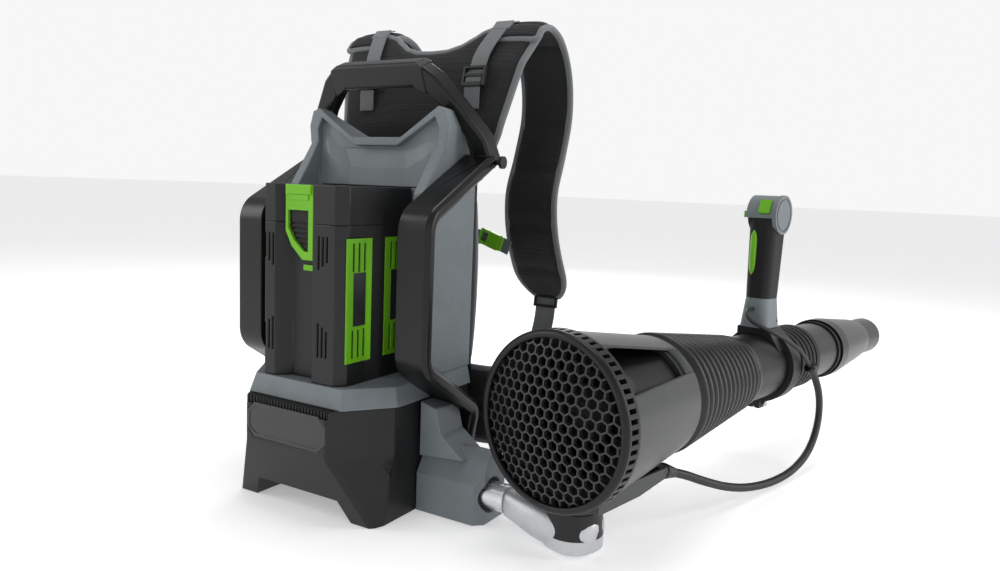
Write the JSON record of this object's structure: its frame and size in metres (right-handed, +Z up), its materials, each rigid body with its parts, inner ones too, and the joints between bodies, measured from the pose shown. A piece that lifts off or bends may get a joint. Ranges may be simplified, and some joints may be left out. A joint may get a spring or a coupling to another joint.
{
  "type": "backpack leaf blower",
  "caption": "Battery backpack leaf blower with padded harness, side swing arm, axial fan, bellows and a jointed blow tube.",
  "frame": {"origin": "on the floor under the middle of the base", "axes": "+X to the operator's right, +Y the way the operator faces and the air leaves, +Z up"},
  "size_m": [0.7247, 1.0224, 0.6385],
  "materials": {
    "gray_plastic": "satin",
    "black_plastic": "satin",
    "green_plastic": "satin",
    "fan_plastic": "satin",
    "aluminium": "brushed",
    "steel": "brushed",
    "copper": "satin",
    "cells": "satin",
    "rubber": "matte",
    "padding": "mesh",
    "webbing": "woven"
  },
  "bodies": {
    "backpack": {"base_housing": "black_plastic", "badge_panel": "black_plastic", "deck_cover": "gray_plastic", "terminal_block": "black_plastic", "controller_board": "green_plastic", "arm_housing": "gray_plastic", "arm_bushes": "steel", "shroud": "gray_plastic", "back_plate": "black_plastic", "guard_frame_right": "black_plastic", "guard_frame_left": "black_plastic", "carry_handle": "black_plastic", "accessory_peg": "black_plastic", "frame_screws": "steel", "back_pad": "padding", "harness_yoke": "padding", "shoulder_pad_right": "padding", "shoulder_pad_left": "padding", "hip_belt": "padding", "harness_webbing": "webbing", "harness_buckles": "green_plastic"},
    "release": {"release_bar": "black_plastic"},
    "battery": {"battery_case": "black_plastic", "battery_cap": "black_plastic", "latch_frame": "green_plastic", "side_vents": "green_plastic", "cell_pack": "cells", "battery_contacts": "copper"},
    "latch": {"latch_pad": "rubber"},
    "swing_arm": {"arm_shaft": "aluminium", "elbow_casting": "aluminium", "swivel_collar": "black_plastic", "yaw_pin": "steel"},
    "blower": {"intake_guard": "black_plastic", "guard_ring": "black_plastic", "fan_duct": "black_plastic", "side_covers": "gray_plastic", "top_cover": "black_plastic", "lower_cover": "black_plastic", "outlet_ring": "gray_plastic", "stator_core": "fan_plastic", "motor_windings": "copper", "motor_bearings": "steel", "bellows": "rubber"},
    "fan": {"impeller": "fan_plastic", "rotor": "steel"},
    "wand": {"front_tube": "black_plastic", "second_tube": "black_plastic", "locking_collar": "black_plastic", "handle_clamp": "black_plastic", "clamp_bolt": "steel", "handle_base": "gray_plastic", "handle_grip": "gray_plastic", "control_head": "black_plastic", "control_cable": "rubber", "cable_conduit": "rubber"},
    "nozzle": {"nozzle": "black_plastic"},
    "trigger": {"trigger": "green_plastic"},
    "turbo": {"turbo_button": "green_plastic"},
    "cruise": {"cruise_lever": "black_plastic"}
  },
  "joints": [
    {"name": "release_press", "type": "slide", "parent": "backpack", "child": "release", "axis": [0, 1, 0], "range_m": [0, 0.004], "stiffness_N_per_m": 600, "springref_m": -0.002},
    {"name": "battery_lift", "type": "slide", "parent": "backpack", "child": "battery", "axis": [0, -0.0599, 0.9982], "range_m": [0, 0.26]},
    {"name": "latch_press", "type": "slide", "parent": "battery", "child": "latch", "axis": [0, 1, 0], "range_m": [0, 0.003], "stiffness_N_per_m": 700, "springref_m": -0.002},
    {"name": "arm_pitch", "type": "hinge", "parent": "backpack", "child": "swing_arm", "pos_m": [0.2, 0.003, 0.034], "axis": [1, 0, 0], "range_deg": [0, 35]},
    {"name": "blower_yaw", "type": "hinge", "parent": "swing_arm", "child": "blower", "pos_m": [0.3273, -0.005, 0.052], "axis": [0, 0, 1], "range_deg": [-18, 12]},
    {"name": "fan_spin", "type": "hinge", "parent": "blower", "child": "fan", "pos_m": [0.33996, 0.01025, 0.16256], "axis": [0.2028, 0.9791, -0.014], "continuous": true},
    {"name": "tube_bend", "type": "hinge", "parent": "blower", "child": "wand", "pos_m": [0.38416, 0.2237, 0.15951], "axis": [0.0028, 0.0137, 0.9999], "range_deg": [-10, 10], "deforming": ["bellows", "cable_conduit"]},
    {"name": "nozzle_twist", "type": "hinge", "parent": "wand", "child": "nozzle", "pos_m": [0.47743, 0.6741, 0.15309], "axis": [0.2028, 0.9791, -0.014], "range_deg": [0, 90]},
    {"name": "trigger_pull", "type": "hinge", "parent": "wand", "child": "trigger", "pos_m": [0.42641, 0.44253, 0.36242], "axis": [0.9792, -0.2028, 0], "range_deg": [-14, 0], "stiffness_Nm_per_rad": 1.2, "springref_deg": 5.73},
    {"name": "turbo_press", "type": "slide", "parent": "wand", "child": "turbo", "axis": [0.1855, 0.8959, -0.4035], "range_m": [0, 0.002], "stiffness_N_per_m": 600, "springref_m": -0.001},
    {"name": "cruise_turn", "type": "hinge", "parent": "wand", "child": "cruise", "pos_m": [0.39838, 0.43538, 0.3846], "axis": [0.9792, -0.2028, 0], "range_deg": [0, 30]}
  ]
}
